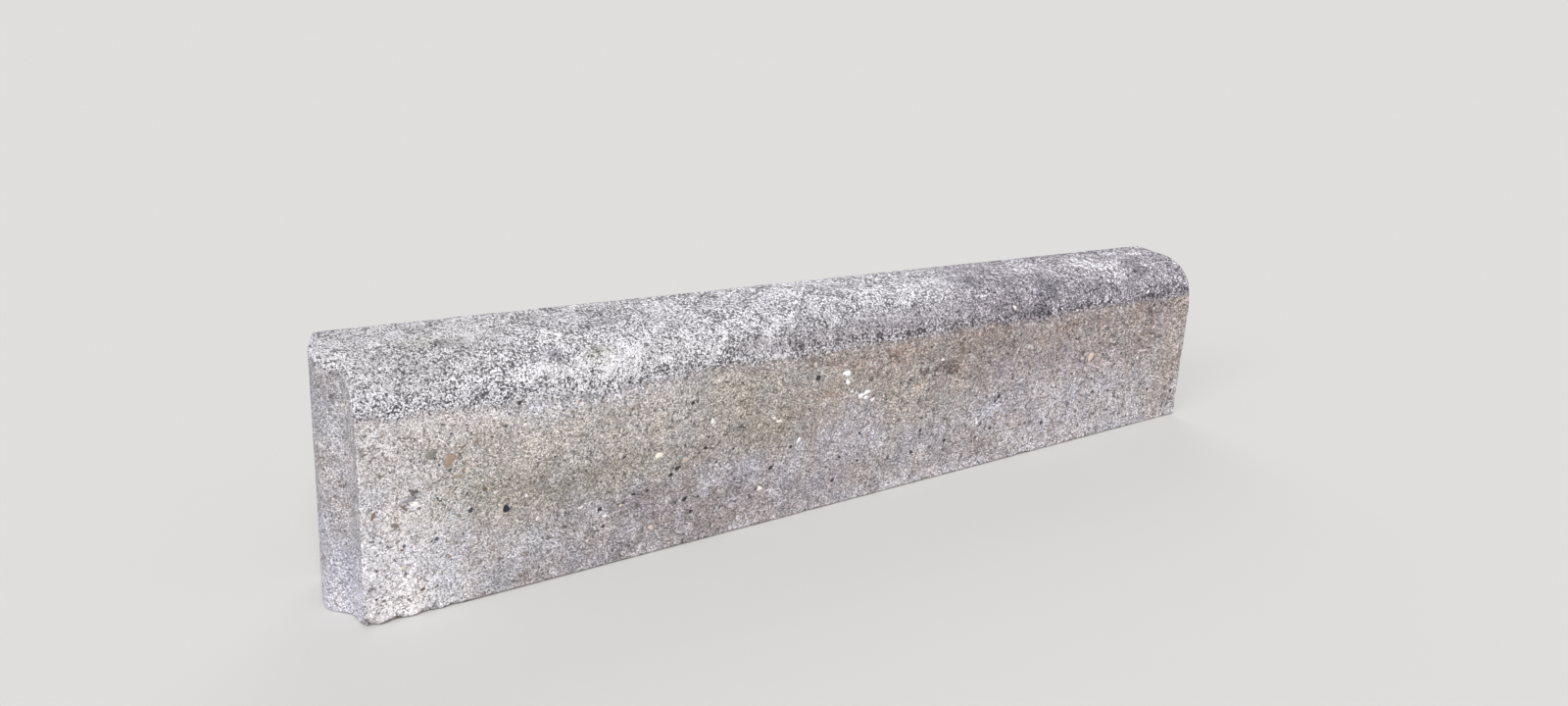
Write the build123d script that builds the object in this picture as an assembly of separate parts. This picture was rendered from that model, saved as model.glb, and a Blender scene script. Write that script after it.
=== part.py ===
from build123d import *
import os
from math import atan2, cos, degrees, hypot, radians, tan

# Concrete kerb stone, cast in one piece: a battered and round-nosed head on an upright body,
# a tongue at one end and plain at the other.
# X runs along the kerb, from the tongue end to the plain end. Y runs from the front face to the back face.
# Z points up. The origin is the middle of the bed, halfway between the tongue's shoulders and the plain end.

# Driving dimensions, in millimetres, and in degrees where the name says angle
laying_length = 1000.0  # from the tongue's shoulders to the plain end
width = 100.0  # front face to back face
height = 200.0  # bed to the highest line of the crown
head_depth = 58.0  # highest line of the crown down to the foot of the batter
batter_angle = 9.5  # lean of the batter away from upright
crown_fall_angle = 8.0  # fall of the crown from the back towards the front
nose_radius = 46.0  # rounding from the batter over to the crown
back_radius = 18.0  # rounding from the crown down to the back face
bed_radius = 2.5  # rounding of the two long arrises at the bed
end_radius = 2.0  # rounding of the arrises around both ends

tongue_depth = 13.0  # how far the tongue stands proud of its shoulders
crest_width = 16.0  # width across the tongue's crest, between its two flanks
flank_width = 16.0  # width that each sloping flank takes, from the crest down to the shoulder
joint_radius = 14.0  # rounding at the crest and the roots of the tongue


def limited(radius, run, turn_angle):
    """The radius, or the largest one that still fits on the run beside a corner that turns by this angle."""
    usable_share = 0.9
    return min(radius, usable_share * run / tan(radians(turn_angle / 2)))


def section_face():
    """The cross-section, in the YZ plane at X = 0."""
    front = -width / 2
    back = width / 2
    batter_foot = height - head_depth
    batter_slope = tan(radians(batter_angle))
    crown_slope = tan(radians(crown_fall_angle))

    # The crown line is tangent to the back rounding, whose top is the highest line of the stone
    crown_at_back = height + back_radius * (crown_slope + 1 / cos(radians(crown_fall_angle)) - 1)
    crown_at_front = crown_at_back - crown_slope * width

    # The batter line and the crown line cross at the sharp corner that the nose rounds off
    nose_rise = (crown_at_front - batter_foot) / (1 - batter_slope * crown_slope)
    nose_setback = nose_rise * batter_slope
    nose_corner = (0, front + nose_setback, batter_foot + nose_rise)
    back_corner = (0, back, crown_at_back)

    outline = Polyline(
        (0, front, 0),
        (0, front, batter_foot),
        nose_corner,
        back_corner,
        (0, back, 0),
        close=True,
    )
    face = make_face(outline)

    # The nose uses what the batter and the crown leave it, and the crown also carries the back rounding
    batter_run = nose_rise / cos(radians(batter_angle))
    crown_run = (width - nose_setback) / cos(radians(crown_fall_angle))
    back_run = back_radius * tan(radians((90 + crown_fall_angle) / 2))
    nose_turn = 90 - batter_angle - crown_fall_angle
    nose = limited(nose_radius, min(batter_run, crown_run - back_run), nose_turn)

    face = fillet(face.vertices().sort_by_distance(nose_corner)[0], nose)
    face = fillet(face.vertices().sort_by_distance(back_corner)[0], back_radius)
    return fillet(face.vertices().group_by(Axis.Z)[0], bed_radius)


def tongue_line():
    """Plan line of the tongue end, front to back: shoulder, flank, crest, flank and shoulder."""
    shoulder = -laying_length / 2
    crest = crest_width / 2
    root = crest + flank_width
    turn_angle = degrees(atan2(tongue_depth, flank_width))
    run = min(crest, hypot(tongue_depth, flank_width) / 2)
    return FilletPolyline(
        (shoulder, -width),
        (shoulder, -root),
        (shoulder - tongue_depth, -crest),
        (shoulder - tongue_depth, crest),
        (shoulder, root),
        (shoulder, width),
        radius=limited(joint_radius, run, turn_angle),
    )


def plan_face():
    """The plan, in the XY plane: the tongue's line at one end, straight at the other, and wider than the stone."""
    tongue = tongue_line()
    plain_end = laying_length / 2
    return make_face([tongue, Polyline(tongue @ 0, (plain_end, -width), (plain_end, width), tongue @ 1)])


def end_arrises(stone):
    """The edges around both ends: all that don't run along X, less the upright lines of the tongue."""
    across = stone.edges().filter_by(Axis.X, reverse=True)
    upright = across.filter_by(Axis.Z).group_by(Axis.Y)
    return across.filter_by(Axis.Z, reverse=True) + upright[0] + upright[-1]


def kerb_stone():
    """The section carried along X past both ends, trimmed to the plan, with its end arrises rounded."""
    bar = extrude(section_face(), amount=laying_length, both=True, dir=(1, 0, 0))
    stone = bar & extrude(plan_face(), amount=2 * height)
    return fillet(end_arrises(stone), end_radius)


os.makedirs("parts", exist_ok=True)
export_step(kerb_stone(), "parts/kerb_stone.step")
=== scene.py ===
"""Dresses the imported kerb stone: worn and weathered concrete with its aggregate showing, in a plain studio.

Shapes are worked out in millimetres along the frame's own axes, and become metres as each mesh is made. A
place on the stone is given as a maker would measure it: along, from the shoulder at the tongue end, and
around, from the front arris at the bed, up the front face, over the head and down the back.
"""

import logging
from dataclasses import astuple, dataclass, field
from enum import Enum
from itertools import product

import bpy
import numpy as np
from mathutils import Matrix, Vector


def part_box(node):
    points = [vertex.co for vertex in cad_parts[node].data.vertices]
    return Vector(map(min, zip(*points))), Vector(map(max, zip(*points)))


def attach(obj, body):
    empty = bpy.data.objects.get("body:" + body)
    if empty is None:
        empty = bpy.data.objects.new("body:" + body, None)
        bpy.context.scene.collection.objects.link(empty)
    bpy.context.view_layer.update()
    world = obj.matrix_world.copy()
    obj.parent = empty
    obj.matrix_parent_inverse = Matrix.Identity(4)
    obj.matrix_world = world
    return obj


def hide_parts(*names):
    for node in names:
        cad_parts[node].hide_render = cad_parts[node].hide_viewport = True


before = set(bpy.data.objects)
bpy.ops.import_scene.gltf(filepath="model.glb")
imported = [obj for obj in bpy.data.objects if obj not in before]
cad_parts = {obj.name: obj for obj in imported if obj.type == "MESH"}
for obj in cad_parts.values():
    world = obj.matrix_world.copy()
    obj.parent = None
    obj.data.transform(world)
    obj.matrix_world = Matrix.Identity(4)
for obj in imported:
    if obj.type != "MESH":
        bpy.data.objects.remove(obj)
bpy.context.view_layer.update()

logging.basicConfig(level=logging.INFO, format="%(name)s: %(message)s")
log = logging.getLogger("kerb_stone")

NODE = "kerb_stone"
BODY = "root"
MM = 0.001

Array = np.ndarray
Colour = tuple[float, float, float]
Span = tuple[float, float]
Socket = bpy.types.NodeSocket


def made(kind: type, *rows: tuple) -> tuple:
    """One thing of the kind for each row of its values."""
    return tuple(kind(*row) for row in rows)


def smooth_step(value: Array, low: float, high: float) -> Array:
    """Eases from 0 at low to 1 at high, by t * t * (3 - 2 t), where t is the clipped share of the way."""
    share = np.clip((value - low) / (high - low), 0.0, 1.0)
    return share * share * (3.0 - 2.0 * share)


def linear(colour: Array) -> Array:
    """Turns colours as a screen shows them into the linear light that materials take.

    A share v of full brightness becomes ((v + 0.055) / 1.055) to the power 2.4, and the deepest darks, up to
    0.04045, become v / 12.92.

    Args:
        colour: red, green and blue in the last axis, 0 to 255.

    Returns:
        The same in linear light, 0 to 1.
    """
    value = np.clip(np.asarray(colour, float) / 255.0, 0.0, 1.0)
    return np.where(value <= 0.04045, value / 12.92, ((value + 0.055) / 1.055) ** 2.4)


def unit(vectors: Array) -> Array:
    """Each vector divided by its own length."""
    return vectors / np.maximum(np.linalg.norm(vectors, axis=-1, keepdims=True), 1e-12)


def scrambled(lattice: Array, seed: int) -> Array:
    """Even random numbers for whole-number points, the same on every run.

    Each coordinate and the seed is multiplied by its own large odd number, the products are combined bit by
    bit, and the result is folded and multiplied twice.

    Args:
        lattice: whole-number points, x, y and z in the last axis.
        seed: picks another set of numbers.

    Returns:
        One number from 0 to 1 for each point.
    """
    factors = np.array([0x9E3779B97F4A7C15, 0xC2B2AE3D27D4EB4F, 0x165667B19E3779F9], np.uint64)
    fold = np.uint64(33)
    keys = lattice.astype(np.int64).astype(np.uint64) * factors
    seeds = np.full(keys.shape[:-1], seed, np.uint64) * np.uint64(0x27D4EB2F165667C5)
    word = keys[..., 0] ^ keys[..., 1] ^ keys[..., 2] ^ seeds
    for mixer in (0xFF51AFD7ED558CCD, 0xC4CEB9FE1A85EC53):
        word = (word ^ (word >> fold)) * np.uint64(mixer)
    return ((word ^ (word >> fold)) >> np.uint64(11)).astype(float) * 2.0**-53


@dataclass(frozen=True)
class Hills:
    """Smooth random hills and hollows with smaller ones on them, drawn out along an axis squeezed under 1."""

    wavelength: float
    seed: int
    layers: int = 1
    keep: float = 0.5
    height: float = 1.0
    squeeze: tuple[float, float, float] = (1.0, 1.0, 1.0)

    def at(self, points: Array) -> Array:
        """Heights at the points: the first layer, and each further one half as wide and keep times as high.

        Args:
            points: places in millimetres.

        Returns:
            One height for each point, about -height to height.
        """
        squeezed = points * np.array(self.squeeze)
        sizes = self.keep ** np.arange(self.layers)
        heights = [
            size * self._layer(squeezed, self.wavelength / 2**index, self.seed + 10 * index)
            for index, size in enumerate(sizes)
        ]
        return self.height * (sum(heights) / np.sqrt(np.sum(sizes**2)))

    @staticmethod
    def _layer(points: Array, wavelength: float, seed: int) -> Array:
        """One layer of hills, by gradient noise.

        Every lattice corner has a random slope. A point takes the heights that the slopes of its cell's eight
        corners give it, blended by the fade 6 t^5 - 15 t^4 + 10 t^3 of its place in the cell.

        Args:
            points: places in millimetres.
            wavelength: the lattice's cell.
            seed: picks another set of slopes.

        Returns:
            One height for each point.
        """
        gain = 1.7
        cell = points / wavelength
        corner = np.floor(cell)
        place = cell - corner
        fade = place**3 * (place * (place * 6.0 - 15.0) + 10.0)
        height = np.zeros(points.shape[:-1])
        for step in product((0.0, 1.0), repeat=3):
            lattice = corner + step
            turn = 2.0 * np.pi * scrambled(lattice, seed)
            rise = 2.0 * scrambled(lattice, seed + 1) - 1.0
            level = np.sqrt(1.0 - rise**2)
            slope = np.stack([level * np.cos(turn), level * np.sin(turn), rise], -1)
            share = np.prod(np.where(np.array(step) > 0.5, fade, 1.0 - fade), -1)
            height += share * np.sum(slope * (place - step), -1)
        return gain * height


@dataclass(frozen=True)
class Spots:
    """Round spots at random places in space, at most one in each cell of a lattice."""

    cell: float
    smallest: float
    largest: float
    share: float
    seed: int

    def at(self, points: Array) -> Array:
        """How far inside a spot each point is: 1 less the distance to its middle over its radius.

        Args:
            points: places in millimetres.

        Returns:
            1 at a spot's middle, 0 on its rim, and down to -1 outside.
        """
        corner = np.floor(points / self.cell)
        inside = np.full(points.shape[:-1], -1.0)
        for step in product((-1.0, 0.0, 1.0), repeat=3):
            home = corner + step
            place = np.stack([scrambled(home, self.seed + axis) for axis in range(3)], -1)
            radius = self.smallest + (self.largest - self.smallest) * scrambled(home, self.seed + 3) ** 3
            depth = 1.0 - np.linalg.norm(points - (home + place) * self.cell, axis=-1) / radius
            there = scrambled(home, self.seed + 4) < self.share
            inside = np.where(there, np.maximum(inside, depth), inside)
        return inside


@dataclass
class Outline:
    """A line through corners in a plane, each rounded by its own radius, ready to be read by its length."""

    corners: list[Span]
    radii: list[float]
    closed: bool = False
    points: Array = field(init=False)
    normals: Array = field(init=False)
    reach: Array = field(init=False)
    middles: list[float] = field(init=False)

    ARC_STEPS = 32
    SPACING = 0.2

    def __post_init__(self) -> None:
        """Traces the roundings, then spaces the line evenly and works out its normals, to the left of it."""
        corners = np.array(self.corners, float)
        arcs = [self._arc(corners, index) for index in range(len(corners))]
        middles = np.cumsum([len(arc) for arc in arcs]) - [(len(arc) + 1) // 2 for arc in arcs]
        line = np.concatenate(arcs)
        if self.closed:
            line = np.roll(line, -middles[0], axis=0)
            middles = middles - middles[0]
            line = np.concatenate([line, line[:1]])
        reach = np.r_[0.0, np.cumsum(np.linalg.norm(np.diff(line, axis=0), axis=1))]
        self.middles = [float(reach[index]) for index in middles]
        self.reach = np.linspace(0.0, reach[-1], int(reach[-1] / self.SPACING))
        self.points = np.stack([np.interp(self.reach, reach, line[:, axis]) for axis in (0, 1)], -1)
        along = unit(np.gradient(self.points, axis=0))
        self.normals = np.stack([-along[:, 1], along[:, 0]], -1)

    def _arc(self, corners: Array, index: int) -> Array:
        """Points of one corner's rounding.

        The arc's radii to its two ends are a and b, and the point at share t is the blend
        (sin((1 - t) w) a + sin(t w) b) / sin(w), where w is the angle through which the line turns.

        Args:
            corners: all the corners.
            index: the corner to round.

        Returns:
            The points from one tangent point to the other, or the corner alone where its radius is 0.
        """
        corner, radius = corners[index], self.radii[index]
        if radius == 0:
            return corner[None]
        back = unit(corners[index - 1] - corner)
        ahead = unit(corners[(index + 1) % len(corners)] - corner)
        turn = np.pi - np.arccos(back @ ahead)
        run = radius * np.tan(turn / 2)
        centre = corner + unit(back + ahead) * radius / np.cos(turn / 2)
        start, end = corner + back * run - centre, corner + ahead * run - centre
        share = np.linspace(0.0, 1.0, self.ARC_STEPS + 1)[:, None]
        return centre + (np.sin((1 - share) * turn) * start + np.sin(share * turn) * end) / np.sin(turn)

    def at(self, reach: Array) -> tuple[Array, Array]:
        """The points and normals of the line at these lengths along it.

        Args:
            reach: lengths from the line's start.

        Returns:
            The points and the normals, both with two coordinates in the last axis.
        """
        columns = (*self.points.T, *self.normals.T)
        first, second, third, fourth = (np.interp(reach, self.reach, column) for column in columns)
        return np.stack([first, second], -1), unit(np.stack([third, fourth], -1))

    def nearest(self, points: Array) -> tuple[Array, Array]:
        """The nearest place on the line for each point.

        Args:
            points: points of the plane.

        Returns:
            Where along the line the nearest place is, and how far away.
        """
        thinned = slice(None, None, 5)
        gaps = np.linalg.norm(points[:, None] - self.points[None, thinned], axis=-1)
        found = np.argmin(gaps, axis=1)
        return self.reach[thinned][found], gaps[np.arange(len(points)), found]


def graded(count: int, length: float, fine_spots: list[tuple[float, float, float]]) -> Array:
    """Steps along a length that shrink near the given places.

    The density is 1 plus, for each place, gain * exp(-distance / reach). Equal shares of its integral give
    the steps.

    Args:
        count: how many steps.
        length: the length that they fill.
        fine_spots: for each place, where it is, the gain and the reach.

    Returns:
        count + 1 positions, from 0 to the length.
    """
    along = np.linspace(0.0, length, 4001)
    density = 1.0 + sum(gain * np.exp(-np.abs(along - place) / reach) for place, gain, reach in fine_spots)
    total = np.r_[0.0, np.cumsum((density[1:] + density[:-1]) / 2)]
    return np.interp(np.linspace(0.0, total[-1], count + 1), total, along)


@dataclass
class KerbShape:
    """The stone's true form, from the CAD model's box and the kerb's own few sizes, in millimetres."""

    head_depth: float = 58.0
    batter_angle: float = 9.5
    crown_fall_angle: float = 8.0
    nose_radius: float = 46.0
    back_radius: float = 18.0
    bed_radius: float = 2.5
    foot_radius: float = 60.0
    tongue_depth: float = 13.0
    crest_width: float = 16.0
    flank_width: float = 16.0
    joint_radius: float = 14.0

    def __post_init__(self) -> None:
        """Reads the box of the CAD node and draws the section and both ends."""
        low, high = (np.array(corner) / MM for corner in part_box(NODE))
        self.front, self.back, self.height = low[1], high[1], high[2]
        self.shoulder, self.plain_end = low[0] + self.tongue_depth, high[0]
        self.section = self._section()
        self.near_end = self._tongue_line()
        beyond = 2.0 * self.front
        self.far_end = Outline([(beyond, self.plain_end), (-beyond, self.plain_end)], [0.0, 0.0])

    def _section(self) -> Outline:
        """The cross-section, from the middle of the front bed arris up the front and round the stone.

        Returns:
            The outline, Y first and then Z.
        """
        foot = self.height - self.head_depth
        batter = np.tan(np.radians(self.batter_angle))
        fall = np.tan(np.radians(self.crown_fall_angle))
        crown_at_back = self.height + self.back_radius * (fall + np.hypot(1.0, fall) - 1.0)
        crown_at_front = crown_at_back - fall * (self.back - self.front)
        nose_rise = (crown_at_front - foot) / (1.0 - batter * fall)
        corners = [
            (self.front, 0.0),
            (self.front, foot),
            (self.front + nose_rise * batter, foot + nose_rise),
            (self.back, crown_at_back),
            (self.back, 0.0),
        ]
        radii = [self.bed_radius, self.foot_radius, self.nose_radius, self.back_radius, self.bed_radius]
        return Outline(corners, radii, closed=True)

    def _tongue_line(self) -> Outline:
        """Plan of the tongue end, Y first and then X: shoulder, flank, crest, flank and shoulder.

        Returns:
            The outline, which runs past the stone on both sides.
        """
        crest, root = self.crest_width / 2, self.crest_width / 2 + self.flank_width
        shoulder, tip = self.shoulder, self.shoulder - self.tongue_depth
        beyond = 2.0 * self.front
        half = [(beyond, shoulder), (-root, shoulder), (-crest, tip)]
        other = [(-across, along) for across, along in reversed(half)]
        return Outline([*half, *other], [0.0, *[self.joint_radius] * 4, 0.0])

    def end_at(self, end: Outline, across: Array) -> tuple[Array, Array]:
        """Where an end's surface is for each Y, and its slope.

        Args:
            end: the near or the far end's line.
            across: Y coordinates.

        Returns:
            The X coordinates, and the change of X with Y.
        """
        place, along = end.points.T
        slope = np.gradient(along, place)
        return np.interp(across, place, along), np.interp(across, place, slope)


@dataclass
class Skin:
    """A closed surface in the making: its points, and how each one lies on the stone."""

    points: Array
    faces: Array
    around: Array
    side_normal: Array
    side_depth: Array
    end_normal: Array
    end_depth: Array

    @classmethod
    def joined(cls, parts: list["Skin"]) -> "Skin":
        """Several skins as one, with each one's faces counted on from the last point of those before it.

        Args:
            parts: the skins, in order.

        Returns:
            The one skin.
        """
        starts = np.cumsum([0, *[len(part.points) for part in parts[:-1]]])
        faces = np.concatenate([part.faces + start for part, start in zip(parts, starts)])
        rest = ("around", "side_normal", "side_depth", "end_normal", "end_depth")
        columns = [np.concatenate([getattr(part, name) for part in parts]) for name in rest]
        return cls(np.concatenate([part.points for part in parts]), faces, *columns)

    def normals(self) -> Array:
        """Outward normals: at each point, the sum of its faces' crossed diagonals, made unit.

        Returns:
            One normal for each point.
        """
        corners = self.points[self.faces]
        crosses = np.cross(corners[:, 2] - corners[:, 0], corners[:, 3] - corners[:, 1])
        owners = self.faces.ravel()
        shared = np.repeat(crosses, 4, axis=0)
        summed = [np.bincount(owners, shared[:, axis], len(self.points)) for axis in range(3)]
        return unit(np.stack(summed, -1))


@dataclass
class SkinGrid:
    """Lays the stone's skin out as one grid round the section, closed at each end by a patch of its own."""

    shape: KerbShape
    up_cells: int = 78
    across_cells: int = 30
    stations: int = 428
    skirt: tuple[float, ...] = (0.5, 1.1, 1.7, 2.3)
    bed_fineness: Span = (2.5, 3.0)
    end_fineness: Span = (4.0, 2.5)
    chip_fineness: tuple[float, float, float] = (45.0, 0.9, 60.0)

    def loop(self) -> Array:
        """Lengths round the section where the grid's lines lie.

        The loop is split at the middles of the bed arrises, the nose and the back's rounding. Opposite sides
        have as many cells, so that the patches at the ends close, and the cells shrink at the bed arrises.

        Returns:
            The lengths, with none repeated at the end.
        """
        middles = self.shape.section.middles
        whole = self.shape.section.reach[-1]
        splits = [0.0, middles[2], middles[3], middles[4], whole]
        cells = [self.up_cells, self.across_cells] * 2
        sides = []
        for start, stop, count in zip(splits, splits[1:], cells):
            fine = [(place - start, *self.bed_fineness) for place in (0.0, whole, middles[4])]
            sides.append(start + graded(count, stop - start, fine)[:-1])
        return np.concatenate(sides)

    def skin(self) -> Skin:
        """The whole skin, still smooth and sharp at its ends."""
        return Skin.joined([self._belt(), *self._patches()])

    def _belt(self) -> Skin:
        """The grid round the section, from a little way in on one end to a little way in on the other.

        A line of the grid at share t of the length is at X = left + t (right - left), where left and right
        are the ends' surfaces at its Y. The lines on the ends are the section drawn in by the skirt's steps.

        Returns:
            The belt, whose point at station m and loop place n is number m * count + n.
        """
        shape, around = self.shape, self.loop()
        outline, normal = shape.section.at(around)
        length = shape.plain_end - shape.shoulder
        fine = [(0.0, *self.end_fineness), (length, *self.end_fineness), self.chip_fineness]
        share = graded(self.stations - 1, length, fine) / length
        inset = np.r_[self.skirt[::-1], np.zeros(self.stations), self.skirt]
        share = np.r_[np.zeros(len(self.skirt)), share, np.ones(len(self.skirt))][:, None]
        plane = outline[None] - inset[:, None, None] * normal[None]
        left, left_slope = shape.end_at(shape.near_end, plane[..., 0])
        right, right_slope = shape.end_at(shape.far_end, plane[..., 0])
        along = left + share * (right - left)
        nearer = share < 0.5
        slope = np.where(nearer, left_slope, right_slope)
        outward = np.where(nearer, -1.0, 1.0) * np.ones_like(along)
        end_normal = unit(np.stack([outward, -outward * slope, np.zeros_like(along)], -1))
        gap = np.where(nearer, along - left, right - along)
        rows, count = along.shape
        side_normal = np.broadcast_to(np.insert(normal, 0, 0.0, axis=1), (rows, count, 3))
        numbers = np.arange(rows * count).reshape(rows, count)
        ahead = np.roll(numbers, -1, axis=1)
        faces = np.stack([numbers[:-1], numbers[1:], ahead[1:], ahead[:-1]], -1)
        return Skin(
            np.concatenate([along[..., None], plane], -1).reshape(-1, 3),
            faces.reshape(-1, 4),
            np.broadcast_to(around, (rows, count)).ravel(),
            side_normal.reshape(-1, 3),
            np.repeat(inset, count),
            end_normal.reshape(-1, 3),
            (gap * np.abs(end_normal[..., 0])).ravel(),
        )

    def _patches(self) -> list[Skin]:
        """The patches that close the two ends, spun between the four sides of the belt's last line.

        With weights a across and b up, a point is (1 - a) front + a back + (1 - b) bed + b top, less the same
        blend of the four corners, so that the patch runs into its sides.

        Returns:
            The two patches. Their points are the inner ones alone, and their faces also use the belt's.
        """
        shape, around = self.shape, self.loop()
        outline, normal = shape.section.at(around)
        rim = outline - self.skirt[-1] * normal
        up, across, count = self.up_cells, self.across_cells, len(around)
        front, top = np.arange(up + 1), up + np.arange(across + 1)
        back, bed = 2 * up + across - np.arange(up + 1), (count - np.arange(across + 1)) % count
        steps = [np.linalg.norm(np.diff(rim[side], axis=0), axis=1) for side in (bed, top, front, back)]
        shares = [np.r_[0.0, np.cumsum(step)] / np.sum(step) for step in steps]
        rise = np.linspace(0.0, 1.0, up + 1)[None, :, None]
        reach = np.linspace(0.0, 1.0, across + 1)[:, None, None]
        a = (1 - rise) * shares[0][:, None, None] + rise * shares[1][:, None, None]
        b = (1 - reach) * shares[2][None, :, None] + reach * shares[3][None, :, None]
        corners = [rim[side] for side in (front[0], back[0], front[-1], back[-1])]
        plane = (1 - a) * rim[front][None] + a * rim[back][None]
        plane = plane + (1 - b) * rim[bed][:, None] + b * rim[top][:, None]
        low, high = ((1 - a) * corners[index] + a * corners[index + 1] for index in (0, 2))
        plane -= (1 - b) * low + b * high
        inner = plane[1:-1, 1:-1].reshape(-1, 2)
        nearest, depth = shape.section.nearest(inner)
        side_normal = np.insert(shape.section.at(nearest)[1], 0, 0.0, axis=1)
        belt_rows = self.stations + 2 * len(self.skirt)
        patches = []
        ends = ((shape.near_end, -1.0, 0, 0), (shape.far_end, 1.0, len(inner), belt_rows - 1))
        for end, outward, first, row in ends:
            along, slope = shape.end_at(end, inner[:, 0])
            numbers = np.empty((across + 1, up + 1), int)
            numbers[0], numbers[-1] = row * count + front, row * count + back
            numbers[:, 0], numbers[:, -1] = row * count + bed, row * count + top
            own = belt_rows * count + first
            numbers[1:-1, 1:-1] = own + np.arange(len(inner)).reshape(across - 1, up - 1)
            ring = [numbers[:-1, :-1], numbers[:-1, 1:], numbers[1:, 1:], numbers[1:, :-1]]
            faces = np.stack(ring if outward < 0 else ring[::-1], -1).reshape(-1, 4)
            end_normal = unit(np.stack([np.full(len(inner), outward), -outward * slope, 0 * slope], -1))
            points = np.insert(inner, 0, along, axis=1)
            patches.append(Skin(points, faces - own, nearest, side_normal, depth, end_normal, 0 * depth))
        return patches


@dataclass(frozen=True)
class Chip:
    """A place where an arris has broken away, in the frame's millimetres."""

    middle: tuple[float, float, float]
    reach: float
    size: float


@dataclass
class ArrisWear:
    """Rounds the arrises unevenly and breaks small chips out of them."""

    shape: KerbShape
    end_radius: float = 1.9
    unevenness: Hills = Hills(26.0, 301, 3, height=0.4)
    chip_size: float = 7.0
    chip_threshold: float = 0.36
    chip_places: Hills = Hills(19.0, 311, 3, 0.6)
    chip_roughness: Hills = Hills(4.5, 321, 2, 0.7, 0.6)

    def chips(self) -> list[Chip]:
        """The larger chips, from rows of place, reach and size: most at the front foot of the tongue end.

        Returns:
            The chips.
        """
        left, right = self.shape.shoulder, self.shape.plain_end
        front, back = self.shape.front, self.shape.back
        rows = (
            (left, front, 0, 12, 8.5),
            (left + 24, front, 0, 11, 4.4),
            (left + 47, front, 0, 10, 4),
            (left + 66, front, 0, 8, 3.4),
            (left, 5, 0, 16, 4),
            (right, front, 24, 14, 3.5),
            (right, back, 188, 18, 5),
            (left, back, 62, 15, 4.5),
            (right, front, 71, 9, 2.9),
            (right, front, 118, 8, 2.6),
            (right, 20, 196, 16, 3.4),
        )
        return [Chip(row[:3], *row[3:]) for row in rows]

    def wear(self, skin: Skin) -> None:
        """Slides the points near the arrises inwards, first for the rounding and then for the chips.

        Args:
            skin: the skin, which is changed.
        """
        points = skin.points
        bed_depth, front_depth = points[:, 2].copy(), points[:, 1] - self.shape.front
        back_depth = self.shape.back - points[:, 1]
        size = self._chip_field(points)
        radius = self.end_radius * (1.0 + self.unevenness.at(points))
        slide_side, slide_end = self._rounding(skin.side_depth, skin.end_depth, radius)
        chip = self._chipping(skin.side_depth + slide_side, skin.end_depth + slide_end, size)
        slide = (slide_side + chip)[:, None] * skin.side_normal
        slide += (slide_end + chip)[:, None] * skin.end_normal
        for depth, sideways in ((front_depth, -1.0), (back_depth, 1.0)):
            broken = self._chipping(depth, bed_depth, size + self.shape.bed_radius * 0.5)
            slide += broken[:, None] * np.array([0.0, sideways, -1.0])
        skin.points = points - slide

    def _chip_field(self, points: Array) -> Array:
        """How much of an arris is broken away near each point, measured along each of its two faces.

        Args:
            points: places in millimetres.

        Returns:
            The larger of the named chips and random ones, unevenly broken.
        """
        size = np.maximum(self.chip_places.at(points) - self.chip_threshold, 0.0) * self.chip_size
        for chip in self.chips():
            away = np.linalg.norm(points - np.array(chip.middle), axis=1) / chip.reach
            size = np.maximum(size, chip.size * np.clip(1.0 - away, 0.0, 1.0))
        return size * (1.0 + self.chip_roughness.at(points))

    @staticmethod
    def _rounding(first: Array, second: Array, radius: Array) -> tuple[Array, Array]:
        """How far to slide a point in from two faces for the arris between them to be round.

        With u and v the shortfalls of the two depths from the radius, the point lies at distance
        hypot(u, v) from the rounding's axis and moves straight towards it until that distance is the radius.

        Args:
            first: depth under one face.
            second: depth under the other.
            radius: the radius of the rounding.

        Returns:
            The slides away from the two faces.
        """
        u, v = np.maximum(radius - first, 0.0), np.maximum(radius - second, 0.0)
        span = np.maximum(np.hypot(u, v), 1e-9)
        excess = np.where((u > 0) & (v > 0), np.maximum(span - radius, 0.0), 0.0)
        return excess * u / span, excess * v / span

    @staticmethod
    def _chipping(first: Array, second: Array, size: Array) -> Array:
        """Half of what the two depths together lack of the chip's size, which puts a point on the break."""
        return np.maximum(size - first - second, 0.0) / 2


@dataclass(frozen=True)
class Pit:
    """A hole left by a bubble or a lost grain: its place along and around, and its radius."""

    along: float
    around: float
    radius: float


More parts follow.
